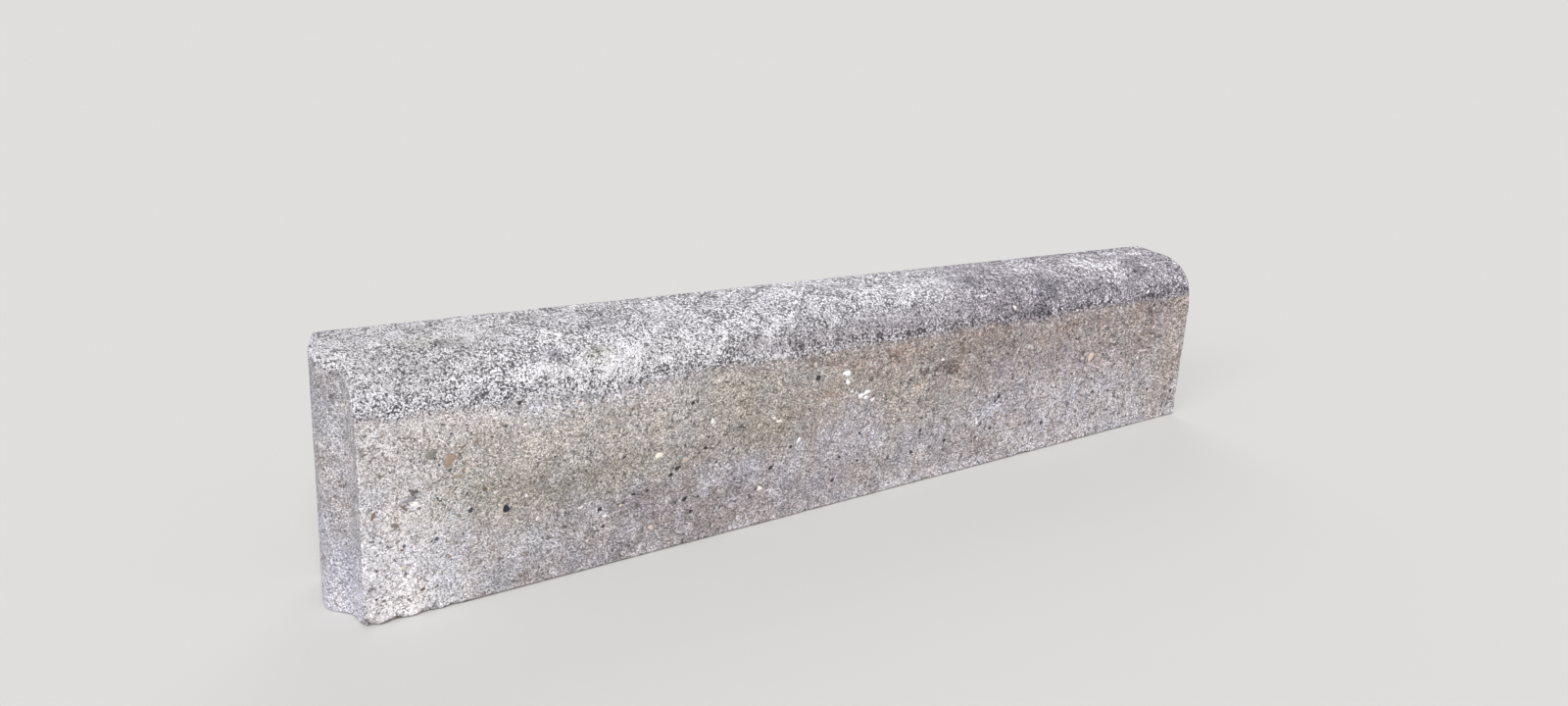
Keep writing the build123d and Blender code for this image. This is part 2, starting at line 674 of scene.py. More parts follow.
class Zones:
    """Places on the stone, and which part of it each one belongs to, as shares from 0 to 1."""

    FRONT_EDGE = 154.0
    FRONT_DIP, DIP_PLACE, DIP_REACH = 7.0, 195.0, 75.0
    BACK_EDGE = 174.0
    END_EDGE = 188.0
    EDGE_SPAN = (0.0, 30.0)
    BED_EASE, HEAD_EASE = 2.0, 3.0
    BACK_EASE = (10.0, 20.0)
    DRIFTS = (Hills(70.0, 401, height=3.0), Hills(16.0, 402, 3, 0.6, 4.0))
    BACK_DRIFT = Hills(120.0, 403, 3, 0.6, 9.0)

    def __init__(self, shape: KerbShape, points: Array, around: Array, end_share: Array) -> None:
        """Works the shares out. The crust's edge lies lower on the front than on the back and the ends.

        Args:
            shape: the stone's form.
            points: places in millimetres.
            around: lengths round the section, or of the nearest place on it.
            end_share: how much each point belongs to an end, 0 to 1.
        """
        middles = shape.section.middles
        self.points = points
        self.along = points[:, 0] - shape.shoulder
        self.around = around
        self.end = end_share
        self.bed = smooth_step(around, middles[4] - self.BED_EASE, middles[4] + self.BED_EASE)
        before, after = self.BACK_EASE
        self.back = smooth_step(around, middles[3] - before, middles[3] + after) * (1.0 - self.bed)
        dip = self.FRONT_DIP * np.exp(-(((self.along - self.DIP_PLACE) / self.DIP_REACH) ** 2))
        front_edge = self.FRONT_EDGE - dip
        back_edge = self.BACK_EDGE + self.BACK_DRIFT.at(points)
        edge = front_edge + (back_edge - front_edge) * smooth_step(points[:, 1], *self.EDGE_SPAN)
        edge = edge + (self.END_EDGE - edge) * self.end
        self.head_height = points[:, 2] - edge + sum(drift.at(points) for drift in self.DRIFTS)
        self.head = smooth_step(self.head_height, -self.HEAD_EASE, self.HEAD_EASE) * (1.0 - self.bed)


@dataclass
class Relief:
    """How far the worn surface lies under the mould's, in millimetres: always a little, and more in pits."""

    shape: KerbShape
    skin_loss: float = 0.6
    bed_loss: float = 0.35
    least_loss: float = 0.02
    pit_depth: float = 1.3
    coarse_loss: Span = (0.05, 0.05)
    fine_loss: Span = (0.03, 0.06)
    head_loss: float = 0.16
    lump_loss: float = 0.15
    lump_span: Span = (0.2, 0.7)
    head_pits: Span = (0.5, -0.2)
    random_pits: Spots = Spots(24.0, 1.2, 3.0, 0.30, 501)
    swells: tuple[Hills, ...] = (Hills(150.0, 511, height=0.16), Hills(48.0, 512, 2, height=0.12))
    coarse: Hills = Hills(10.0, 521, 2)
    fine: Hills = Hills(5.2, 531, 2, 0.7)
    pits: tuple[Pit, ...] = made(
        Pit,
        (261, 71, 2.7), (254.5, 66.5, 2.4), (219, 56.5, 1.9), (232, 57.5, 1.7), (289, 84, 2.3),
        (274.5, 126.5, 2), (188, 50, 2.2), (269, 41.5, 2.6), (191.5, 34.5, 1.7), (275.5, 29, 1.8),
        (410, 129, 3.2), (466, 66, 2), (382, 68, 2.1), (360, 52, 2.7), (548, 55, 2.2), (584, 38, 2.8),
        (537.5, 34, 2.4), (435, 25, 2.5), (662, 73.5, 2.9), (656.8, 68.5, 2), (652.5, 39.5, 2.2),
        (738, 31.5, 2.7), (871, 94.5, 2.3), (825, 54.5, 2.2), (855, 51, 2.1), (934.5, 41.5, 2.4),
        (986, 32, 2.8), (121, 150, 2), (292, 93.5, 1.5), (176, 97, 1.3), (210, 90.5, 1.4),
        (318, 78, 1.6), (300, 69, 1.3), (157.5, 42, 1.4), (283, 41, 1.3), (465, 39, 1.6),
        (442, 47, 1.4), (497.5, 95, 1.6), (526, 87, 1.5), (529, 96, 1.4), (548, 68, 1.7),
        (690, 32.5, 1.7), (764, 116, 1.6), (782.5, 122.5, 1.7), (819, 71, 1.7), (554, 140.5, 1.5),
    )

    def pit_field(self, zones: Zones) -> Array:
        """How far inside a pit each place is: 1 at its middle, 0 on its rim, down to -1 outside.

        Args:
            zones: the places.

        Returns:
            The deepest of the named pits on the front and the random ones all over.
        """
        inside = self.random_pits.at(zones.points)
        share, shift = self.head_pits
        inside = np.where(zones.head > 0.5, np.minimum(inside, inside * share + shift), inside)
        for pit in self.pits:
            gap = np.hypot(zones.along - pit.along, zones.around - pit.around)
            inside = np.where(zones.end < 0.5, np.maximum(inside, 1.0 - gap / pit.radius), inside)
        return np.maximum(inside, -1.0)

    def depth(self, zones: Zones, pit_field: Array) -> Array:
        """The loss of surface: a slow unevenness, the rubbed texture of each part, and the pits.

        Args:
            zones: the places.
            pit_field: how far inside a pit each place is.

        Returns:
            The depth under the mould's surface.
        """
        rough = 1.0 - np.maximum(zones.end, zones.bed)
        coarse, fine = self.coarse.at(zones.points), self.fine.at(zones.points)
        loss = self.skin_loss + (self.bed_loss - self.skin_loss) * zones.bed
        loss = loss + sum(swell.at(zones.points) for swell in self.swells)
        for texture, (smooth_size, more) in ((coarse, self.coarse_loss), (fine, self.fine_loss)):
            loss += (smooth_size + more * rough) * texture
        lumps = self.lump_loss * smooth_step(coarse, *self.lump_span)
        loss += zones.head * (self.head_loss * coarse + self.head_loss * fine + lumps)
        loss += self.pit_depth * np.sqrt(np.clip(pit_field, 0.0, 1.0))
        return np.maximum(loss, self.least_loss)


@dataclass(frozen=True)
class Patch:
    """A soft patch: its middle along and around, its reaches, its strength, raggedness and hardness."""

    along: float
    around: float
    long_reach: float
    round_reach: float
    strength: float
    raggedness: float = 0.35
    fall: float = 2.6

    FARTHEST = 2.2
    NOISE_SHARE, LEAST_NOISE = 0.9, 5.0

    def cover(self, zones: Zones, seed: int) -> Array:
        """How much the patch covers of each place.

        With d the distance from its middle in units of its reach, pushed in and out by noise of its own size,
        the cover is strength * exp(-d^fall).

        Args:
            zones: the places.
            seed: picks the raggedness.

        Returns:
            One share from 0 to 1 for each place, 0 on the ends.
        """
        along, around = zones.along - self.along, zones.around - self.around
        away = np.hypot(along / self.long_reach, around / self.round_reach)
        near = away < self.FARTHEST
        size = max(self.NOISE_SHARE * min(self.long_reach, self.round_reach), self.LEAST_NOISE)
        noise = Hills(size, seed, 3, 0.6, self.raggedness)
        cover = np.zeros(len(away))
        ragged = np.maximum(away[near] + noise.at(zones.points[near]), 0.0)
        cover[near] = self.strength * np.exp(-(ragged**self.fall))
        return cover * (1.0 - zones.end)


@dataclass(frozen=True)
class Band:
    """A band along the stone: its place round the section, its reach, its strength, and where it fades in."""

    around: float
    reach: float
    strength: float = 1.0
    fade: Span = (-200.0, -100.0)

    def cover(self, zones: Zones) -> Array:
        """How much the band covers of each place: strength * exp(-(distance / reach)^2), faded in."""
        across = np.exp(-(((zones.around - self.around) / self.reach) ** 2))
        return self.strength * across * smooth_step(zones.along, *self.fade)


@dataclass(frozen=True)
class Stain:
    """A colour, and the patch that it covers."""

    colour: Colour
    patch: Patch


def stains(*rows: tuple) -> tuple[Stain, ...]:
    """Stains from rows of the colour and the patch's numbers."""
    return tuple(Stain(colour, Patch(*numbers)) for colour, *numbers in rows)


@dataclass
class Weathering:
    """The colour of the stone from place to place, and how the lichen crust on its head is broken."""

    zones: Zones
    body: Colour = (176, 170, 171)
    crust: Colour = (237, 234, 240)
    crust_far: Colour = (169, 164, 171)
    end_face: Colour = (180, 177, 182)
    end_bleach: Colour = (25, 26, 33)
    back_face: Colour = (178, 172, 168)
    bed_face: Colour = (170, 164, 160)
    warmth: Colour = (4, 0, -5)
    body_stains: tuple[Stain, ...] = stains(
        ((241, 238, 243), 0, 46, 97, 72, 1, 0.3, 5), ((218, 214, 218), 0, 120, 66, 50, 0.85, 0.5, 4),
        ((204, 198, 197), 95, 110, 75, 50, 0.7), ((209, 204, 206), 60, 146, 100, 15, 0.8, 0.5),
        ((203, 195, 190), 205, 120, 140, 30, 0.85), ((176, 165, 159), 480, 112, 170, 36, 0.8),
        ((162, 149, 149), 800, 112, 210, 34, 0.85), ((168, 161, 167), 300, 30, 210, 40, 0.8),
        ((186, 179, 184), 740, 44, 190, 46, 0.8), ((178, 164, 158), 976, 84, 42, 60, 0.75, 0.6),
        ((177, 171, 157), 325, 128, 62, 26, 0.5, 0.6), ((190, 187, 173), 86, 86, 24, 24, 0.4, 0.6),
        ((224, 220, 221), 52, 74, 26, 20, 0.6, 0.6), ((164, 158, 149), 178, 78, 96, 19, 0.8, 0.6),
        ((164, 155, 143), 350, 90, 34, 20, 0.6, 0.7), ((158, 148, 148), 285, 24, 62, 36, 0.75, 0.6),
        ((148, 133, 128), 640, 141, 92, 17, 0.85, 0.5), ((160, 146, 139), 500, 145, 120, 12, 0.65, 0.5),
        ((158, 145, 143), 790, 143, 110, 12, 0.5, 0.6), ((142, 128, 126), 935, 145, 84, 14, 0.8, 0.5),
        ((158, 147, 148), 620, 26, 34, 14, 0.6, 0.7), ((206, 202, 208), 700, 8, 36, 10, 0.5, 0.6),
        ((206, 202, 205), 120, 40, 26, 16, 0.6, 0.6), ((184, 179, 187), 455, 66, 40, 36, 0.5, 0.7),
        ((216, 213, 219), 175, 146, 82, 6, 0.85, 0.5),
        ((172, 163, 166), 770, 149.5, 90, 4.5, 0.75, 0.5), ((234, 231, 235), 40, 10, 46, 15, 0.7, 0.6),
        ((200, 184, 152), 542, 102, 9, 6, 0.5, 0.8), ((154, 128, 116), 507, 138, 14, 7, 0.65, 0.7),
        ((190, 168, 150), 430, 112, 10, 6, 0.5, 0.8), ((200, 196, 203), 560, 4, 300, 7, 0.6, 0.5),
        ((146, 138, 139), 250, 9, 34, 9, 0.6, 0.6), ((184, 177, 177), 175, 26, 26, 13, 0.6, 0.6),
        ((240, 238, 242), 22, 6, 28, 8, 0.8, 0.6), ((212, 207, 209), 175, 139, 54, 8, 0.6, 0.6),
        ((174, 166, 168), 702, 139, 26, 9, 0.6, 0.7), ((204, 199, 205), 850, 8, 160, 9, 0.6, 0.5),
    )
    head_stains: tuple[Stain, ...] = stains(
        ((212, 208, 213), 0, 245, 320, 22, 0.7), ((246, 242, 247), 205, 170, 80, 13, 0.9, 0.6),
        ((184, 176, 182), 470, 164, 170, 12, 0.75, 0.5), ((172, 166, 173), 540, 178, 160, 11, 0.5, 0.6),
        ((152, 146, 153), 650, 177, 70, 9, 0.5, 0.6), ((206, 203, 206), 100, 206, 30, 18, 0.6, 0.7),
        ((161, 155, 163), 850, 170, 280, 18, 0.7, 0.6), ((172, 167, 174), 790, 250, 200, 16, 0.6, 0.7),
        ((154, 149, 157), 690, 200, 60, 30, 0.6, 0.7), ((226, 221, 228), 768, 226, 34, 16, 0.8, 0.7),
        ((236, 232, 238), 848, 228, 20, 12, 0.7, 0.7), ((208, 210, 194), 62, 214, 20, 12, 0.4, 0.6),
        ((166, 168, 154), 192, 180, 11, 8, 0.6, 0.7), ((156, 150, 162), 154, 184, 12, 7, 0.6, 0.7),
        ((172, 171, 170), 84, 210, 14, 8, 0.6, 0.7), ((152, 149, 156), 361, 190, 4, 8, 0.7, 0.6),
        ((126, 122, 132), 641, 213, 12, 8, 0.7, 0.7), ((126, 122, 134), 738, 185, 16, 12, 0.6, 0.7),
        ((126, 121, 130), 822, 178, 16, 8, 0.6, 0.7), ((132, 128, 138), 917, 204, 16, 8, 0.7, 0.7),
        ((172, 168, 175), 780, 204, 20, 9, 0.7, 0.7), ((246, 242, 248), 850, 210, 32, 16, 0.9, 0.8),
        ((236, 233, 238), 920, 240, 12, 5, 0.8, 0.6), ((236, 233, 238), 958, 233, 15, 6, 0.8, 0.6),
        ((240, 236, 242), 530, 218, 60, 24, 0.8, 0.7), ((245, 241, 248), 380, 228, 70, 26, 0.9, 0.7),
        ((219, 215, 222), 210, 208, 60, 24, 0.7, 0.7), ((252, 249, 254), 170, 198, 26, 12, 0.8, 0.7),
        ((204, 201, 206), 252, 190, 24, 10, 0.6, 0.7), ((198, 196, 198), 34, 196, 50, 24, 0.8, 0.6),
        ((138, 132, 140), 700, 166, 34, 8, 0.8, 0.7), ((138, 133, 141), 858, 173, 26, 8, 0.75, 0.7),
        ((200, 196, 202), 475, 228, 22, 10, 0.7, 0.7), ((206, 203, 208), 250, 176, 22, 8, 0.7, 0.7),
        ((140, 135, 140), 990, 160, 20, 14, 0.6, 0.6),
    )
    blooms: tuple[Patch, ...] = made(
        Patch,
        (145, 30, 32, 20, 0.55, 0.6), (212, 28, 18, 16, 0.55, 0.6), (375, 42, 50, 28, 0.55, 0.7),
        (485, 50, 36, 24, 0.6, 0.7), (600, 40, 70, 40, 0.35, 0.7), (73, 42, 7, 5, 0.9, 0.6),
        (33, 62, 5, 10, 0.7, 0.6), (922, 56, 11, 4, 0.8, 0.7),
    )
    dirts: tuple[Patch, ...] = made(
        Patch,
        (586, 116, 13, 10, 0.95, 0.6), (568, 118, 11, 7, 0.85, 0.6), (546, 115.5, 10, 7, 0.9, 0.6),
        (530, 112.5, 7, 5, 0.85, 0.6), (507, 138, 13, 6, 0.42, 0.7), (808, 134, 16, 6, 0.42, 0.7),
        (935, 140, 34, 9, 0.45, 0.6), (410, 184, 4, 7, 0.5, 0.6),
    )
    unbroken: Patch = Patch(190, 169, 62, 11, 0.16, 0.6)
    tone_clouds: tuple[Hills, ...] = (
        Hills(55.0, 601, 3, height=8.0),
        Hills(14.0, 602, 2, height=9.0),
        Hills(11.0, 604, 3, height=6.0, squeeze=(0.12, 1.0, 1.0)),
    )
    back_drips: Hills = Hills(20.0, 608, 3, 0.6, 9.0, (1.0, 1.0, 0.14))
    warm_cloud: Hills = Hills(36.0, 603, 3, 0.7)
    crust_clouds: tuple[Hills, ...] = (Hills(40.0, 605, 3, height=8.0), Hills(11.0, 606, 2, 0.8, 14.0))
    crust_streaks: Hills = Hills(14.0, 607, 3, 0.7, squeeze=(0.35, 1.0, 1.0))
    bleach_drift: Hills = Hills(30.0, 611, 2, height=14.0)
    bleach_span: Span = (90.0, 20.0)
    root_band: Span = (30.0, 9.0)
    # How much paler the painted light makes the strips beside the tongue's roots
    root_paleness: float = 4.0
    far_span: Span = (500.0, 700.0)
    streak_size: Span = (8.0, 12.0)
    low_front: Span = (95.0, 60.0)
    low_back: Span = (395.0, 430.0)
    bloom_cloud: Hills = Hills(34.0, 741, 4, 0.7, 0.6)
    bloom_level: float = 0.30
    bloom_most: float = 0.8
    end_bloom_loss: float = 0.8
    dirt_cloud: Hills = Hills(30.0, 771, 4, 0.65, 0.9)
    dirt_level: float = -0.42
    dirt_most: float = 0.5
    end_dirt_loss: float = 0.5
    speck_span: Span = (-11.0, 5.0)
    speck_share: float = 0.47
    speck_drifts: tuple[Hills, ...] = (Hills(55.0, 701, 2, height=0.09), Hills(12.0, 702, 2, 0.7, 0.16))
    speck_bands: tuple[Band, ...] = made(Band, (158, 3, 1, (430, 560)), (161, 8, 0.2, (230, 300)))
    band_specks: float = 0.19
    band_level: float = 0.7
    band_limits: Span = (0.1, 1.3)
    fewer_far: float = 0.03
    band_cloud: Hills = Hills(45.0, 703, 3, 0.8, 0.8)
    grime_bands: tuple[Band, ...] = made(Band, (159, 5), (165, 10, 0.6, (150, 60)))
    grime_level: Span = (0.3, 0.6)
    grime_cloud: Hills = Hills(34.0, 711, 3, height=0.6)

    def tone(self) -> Array:
        """The concrete's colour before its grain: that of its part, washed over with the stains of that part.

        Returns:
            Colours as a screen shows them, 0 to 255.
        """
        zones = self.zones
        tone = self._washed(np.tile(self.body, (len(zones.points), 1)), self.body_stains, 620)
        parts = ((self.back_face, zones.back), (self.bed_face, zones.bed), (self._end_tone(), zones.end))
        for colour, share in parts:
            tone = self._mixed(tone, np.array(colour), share)
        cloud = sum(hills.at(zones.points) for hills in self.tone_clouds)
        cloud = cloud + self.back_drips.at(zones.points) * zones.back
        return tone + cloud[:, None] + self.warm_cloud.at(zones.points)[:, None] * np.array(self.warmth)

    def crust_tone(self) -> Array:
        """The crust's colour before its specks: whiter at the tongue end, and greyer at the plain end.

        Returns:
            Colours as a screen shows them, 0 to 255.
        """
        points, far = self.zones.points, self._far()
        crust = self._mixed(np.tile(self.crust, (len(points), 1)), np.array(self.crust_far), far)
        cloud = sum(hills.at(points) for hills in self.crust_clouds)
        near_size, more = self.streak_size
        cloud = cloud + (near_size + more * far) * self.crust_streaks.at(points)
        return self._washed(crust, self.head_stains, 660) + cloud[:, None]

    def bloom(self) -> Array:
        """How much dried salt lies at each place: the named blooms, and random ones on the lower half.

        Returns:
            Shares from 0 to 1.
        """
        zones = self.zones
        low = sum(smooth_step(zones.around, *span) for span in (self.low_front, self.low_back))
        random = np.clip(self.bloom_level + self.bloom_cloud.at(zones.points), 0.0, self.bloom_most)
        outside = (1.0 - zones.bed) * (1.0 - self.end_bloom_loss * zones.end)
        return np.max([np.clip(low, 0.0, 1.0) * random * outside, *self._covers(self.blooms, 750)], axis=0)

    def dirt(self) -> Array:
        """How much dark dirt is caught at each place: the named patches, and faint random ones.

        Returns:
            Shares from 0 to 1.
        """
        random = np.clip(self.dirt_cloud.at(self.zones.points) + self.dirt_level, 0.0, self.dirt_most)
        random *= 1.0 - self.end_dirt_loss * self.zones.end
        return np.max([random, *self._covers(self.dirts, 780)], axis=0)

    def specks(self) -> Array:
        """How much of the crust is broken by specks of bare dark stone: more along its lower edge.

        Returns:
            Shares from 0 to 1, and 0 where there is no crust.
        """
        zones = self.zones
        above = smooth_step(zones.head_height, *self.speck_span) * (1.0 - zones.bed)
        band = sum(band.cover(zones) for band in self.speck_bands)
        band *= np.clip(self.band_level + self.band_cloud.at(zones.points), *self.band_limits)
        share = self.speck_share - self.fewer_far * self._far() + self.band_specks * band
        share += sum(hills.at(zones.points) for hills in self.speck_drifts)
        return above * np.clip(share - self.unbroken.cover(zones, 790), 0.0, 1.0)

    def grime(self) -> Array:
        """How black the specks are, 0 to 1: most along the crust's lower edge on the front.

        Returns:
            The blackness at each place.
        """
        level, more = self.grime_level
        band = np.max([band.cover(self.zones) for band in self.grime_bands], axis=0)
        return np.clip((level + more * band) * (1.0 + self.grime_cloud.at(self.zones.points)), 0.0, 1.0)

    def _end_tone(self) -> Array:
        """The ends' colour: a little paler beside the tongue's roots, which is painted light on the strips
        there, and bleached towards the bed.

        Returns:
            Colours as a screen shows them, 0 to 255.
        """
        points = self.zones.points
        # Painted light: a pale strip beside each root of the tongue, where its flank and shoulder face the
        # light
        root, reach = self.root_band
        painted_strip = np.exp(-(((np.abs(points[:, 1]) - root) / reach) ** 2)) * (points[:, 0] < 0.0)
        bleach = smooth_step(points[:, 2] + self.bleach_drift.at(points), *self.bleach_span)
        tone = np.array(self.end_face) + self.root_paleness * painted_strip[:, None]
        return tone + bleach[:, None] * np.array(self.end_bleach)

    def _far(self) -> Array:
        """How much each place belongs to the greyer part of the crust, at the plain end."""
        return smooth_step(self.zones.along, *self.far_span)

    def _covers(self, patches: tuple[Patch, ...], seed: int) -> list[Array]:
        """How much each patch covers, each with a seed of its own."""
        return [patch.cover(self.zones, seed + index) for index, patch in enumerate(patches)]

    def _washed(self, colour: Array, washes: tuple[Stain, ...], seed: int) -> Array:
        """The colour with the stains laid over it, one after another.

        Args:
            colour: the colours so far.
            washes: the stains, in order.
            seed: picks the first stain's raggedness.

        Returns:
            The stained colours.
        """
        covers = self._covers(tuple(stain.patch for stain in washes), seed)
        for stain, cover in zip(washes, covers):
            colour = self._mixed(colour, np.array(stain.colour), cover)
        return colour

    @staticmethod
    def _mixed(colour: Array, other: Array, share: Array) -> Array:
        """The share of the other colour laid over the first."""
        return colour + share[:, None] * (other - colour)


class Graph:
    """Builds the nodes of a material or of the world, with one short call for each."""

    def __init__(self, owner: bpy.types.Material | bpy.types.World) -> None:
        """Starts with none of the owner's nodes.

        Args:
            owner: the material or the world that the nodes are for.
        """
        owner.use_nodes = True
        self.owner = owner
        self.tree = owner.node_tree
        self.tree.nodes.clear()

    def node(self, kind: str, inputs: dict | None = None, **settings: object) -> bpy.types.Node:
        """Adds a node.

        Args:
            kind: the node's type, without its common prefix.
            inputs: sockets or values for its inputs, by name or number.
            settings: its own settings.

        Returns:
            The node.
        """
        node = self.tree.nodes.new("ShaderNode" + kind)
        for name, value in settings.items():
            setattr(node, name, value)
        for name, value in (inputs or {}).items():
            if isinstance(value, Socket):
                self.tree.links.new(value, node.inputs[name])
            else:
                node.inputs[name].default_value = value
        return node

    def place(self) -> Socket:
        """Object coordinates, which are the frame's own metres."""
        return self.node("TexCoord").outputs["Object"]

    def attribute(self, name: str, output: str = "Fac") -> Socket:
        """An attribute that the mesh carries."""
        return self.node("Attribute", attribute_name=name).outputs[output]

    def noise(self, place: Socket, scale: float, detail: float = 3.0, roughness: float = 0.6) -> Socket:
        """Cloudy noise, about 0.5 in the middle."""
        inputs = {"Vector": place, "Scale": scale, "Detail": detail, "Roughness": roughness}
        return self.node("TexNoise", inputs).outputs["Fac"]

    def cells(self, place: Socket, scale: float) -> tuple[Socket, Socket]:
        """Grains of even size, as two random numbers for each grain.

        Args:
            place: the coordinates.
            scale: how many grains fit in a metre, roughly.

        Returns:
            The two numbers.
        """
        node = self.node("TexVoronoi", {"Vector": place, "Scale": scale})
        split = self.node("SeparateColor", {"Color": node.outputs["Color"]})
        return split.outputs["Red"], split.outputs["Green"]

    def shaken(self, place: Socket, scale: float, reach: float) -> Socket:
        """Coordinates pushed about by noise, so that what is drawn on them is ragged."""
        noise = self.node("TexNoise", {"Vector": place, "Scale": scale, "Detail": 1.0})
        return self.vector("MULTIPLY_ADD", noise.outputs["Color"], (reach, reach, reach), place)

    def vector(self, operation: str, *values: object) -> Socket:
        """One step of arithmetic with vectors."""
        return self.node("VectorMath", dict(enumerate(values)), operation=operation).outputs["Vector"]

    def sum(self, operation: str, *values: object) -> Socket:
        """One step of arithmetic."""
        return self.node("Math", dict(enumerate(values)), operation=operation).outputs[0]

    def plus(self, first: object, second: object) -> Socket:
        """Two numbers added."""
        return self.sum("ADD", first, second)

    def times(self, first: object, second: object) -> Socket:
        """Two numbers multiplied."""
        return self.sum("MULTIPLY", first, second)

    def fit(self, value: Socket, factor: float, shift: object) -> Socket:
        """A number times the factor, plus the shift."""
        return self.sum("MULTIPLY_ADD", value, factor, shift)

    def swing(self, noise: Socket, size: float, middle: float = 0.5) -> Socket:
        """Noise as a number that swings about 0: its distance from the middle, times the size."""
        return self.fit(noise, size, -size * middle)

    def ease(self, value: Socket, span: Span, start: float = 0.0, end: float = 1.0) -> Socket:
        """Eases from start at the span's first number to end at its second."""
        inputs = {"Value": value, "From Min": span[0], "From Max": span[1], "To Min": start, "To Max": end}
        return self.node("MapRange", inputs, interpolation_type="SMOOTHSTEP").outputs["Result"]

    def power(self, shade: Socket) -> Socket:
        """2 to the power of the shade, as a grey light."""
        value = self.sum("POWER", 2.0, shade)
        return self.node("CombineColor", {"Red": value, "Green": value, "Blue": value}).outputs["Color"]

    def blend(self, share: object, first: object, second: object, kind: str = "MIX") -> Socket:
        """Blends two colours."""
        node = self.node("Mix", {0: share, 6: first, 7: second}, data_type="RGBA", blend_type=kind)
        return node.outputs[2]

    def lit(self, colour: object, light: object) -> Socket:
        """A colour multiplied by a light."""
        return self.blend(1.0, colour, light, "MULTIPLY")

    def finish(self, colour: Socket, height: Socket, distance: float, roughness: float) -> bpy.types.Material:
        """Ends the material with its shader.

        Args:
            colour: the surface's colour.
            height: the fine relief, about 0 to 1.
            distance: how deep a relief of 1 is, in metres.
            roughness: how matt the surface is.

        Returns:
            The material.
        """
        bump = self.node("Bump", {"Height": height, "Distance": distance, "Strength": 1.0})
        inputs = {"Base Color": colour, "Roughness": roughness, "Specular IOR Level": 0.3}
        shader = self.node("BsdfPrincipled", {**inputs, "Normal": bump.outputs["Normal"]})
        self.node("OutputMaterial", {"Surface": shader.outputs["BSDF"]})
        return self.owner


def paint(colour: Colour) -> tuple[float, float, float, float]:
    """A colour as a screen shows it, 0 to 255, as the four linear numbers that a node takes."""
    return (*linear(colour).tolist(), 1.0)


@dataclass(frozen=True)
class Layer:
    """A colour laid on: the span of its noise over which it comes to show, and how strongly it shows then."""

    colour: Colour
    span: Span
    strength: float


@dataclass(frozen=True)
class WeatheredConcrete:
    """Sandy cement with grains of every shade, blooms, dirt, a speckled crust on the head, and painted shade
    in the pores.
    """

    grain_scale: float = 620.0
    sand_scale: float = 1400.0
    blotch_scale: float = 95.0
    brown_scale: float = 157.5
    pale_scale: float = 273.0
    dark_scale: float = 294.0
    point_scale: float = 560.0
    speck_scale: float = 520.0
    shake_scale: float = 900.0
    shake_reach: float = 0.0011
    drawn_out: Span = (0.86, 0.72)
    grain_growth: float = 0.30
    far_span: Span = (-0.05, 0.22)
    near_span: Span = (-0.36, -0.48)
    near_contrast: Span = (1.1, 0.94)
    fine_contrast: float = 0.12
    sand_contrast: float = 2.0
    grain_contrast: float = 3.5
    grain_middle: float = 0.48
    blotch_contrast: float = 1.3
    warm: Colour = (1.025, 1.0, 0.975)
    cool: Colour = (0.99, 1.0, 1.02)
    bloom: Layer = Layer((204, 203, 211), (0.22, 0.85), 0.55)
    dirt: Layer = Layer((98, 81, 84), (0.30, 0.90), 0.80)
    brown_fleck: Layer = Layer((138, 116, 104), (0.61, 0.66), 0.45)
    pale_fleck: Layer = Layer((240, 237, 235), (0.62, 0.64), 0.8)
    dark_fleck: Layer = Layer((78, 74, 74), (0.62, 0.64), 0.72)
    dark_point: Layer = Layer((78, 74, 74), (0.375, 0.34), 0.8)
    pale_point: Layer = Layer((240, 237, 235), (0.645, 0.68), 0.6)
    # Painted shade laid into the pits
    pore: Layer = Layer((56, 52, 52), (0.0, 0.3), 0.75)
    fleck_share: Span = (1.0, 0.75)
    far_flecks: float = 0.022
    crust_span: Span = (-0.10, 0.16)
    crust_raggedness: float = 3.2
    crust_contrast: Span = (0.55, 0.72)
    speck_span: Span = (-0.022, 0.03)
    speck_level: Span = (0.42, 0.29)
    speck_sand: float = 0.11
    speck_strength: float = 0.9
    grey_speck: Colour = (114, 112, 115)
    black_speck: Colour = (60, 57, 64)
    black_span: Span = (0.08, 0.22)
    grime_strength: float = 0.16
    far_blackness: float = 0.45
    grain_height: float = 0.9
    sand_height: float = 0.15
    net_height: float = 0.8
    fleck_hollow: float = 0.35
    relief: float = 0.0017
    roughness: float = 0.92

    def material(self) -> bpy.types.Material:
        """Builds the material, which reads the attributes that the stone's mesh carries.

        Returns:
            The material.
        """
        layers = ConcreteLayers(self)
        layers.lay_bloom_and_dirt()
        layers.lay_flecks()
        layers.lay_crust()
        layers.lay_pores()
        return layers.finish(layers.colour, layers.height(), self.relief, self.roughness)


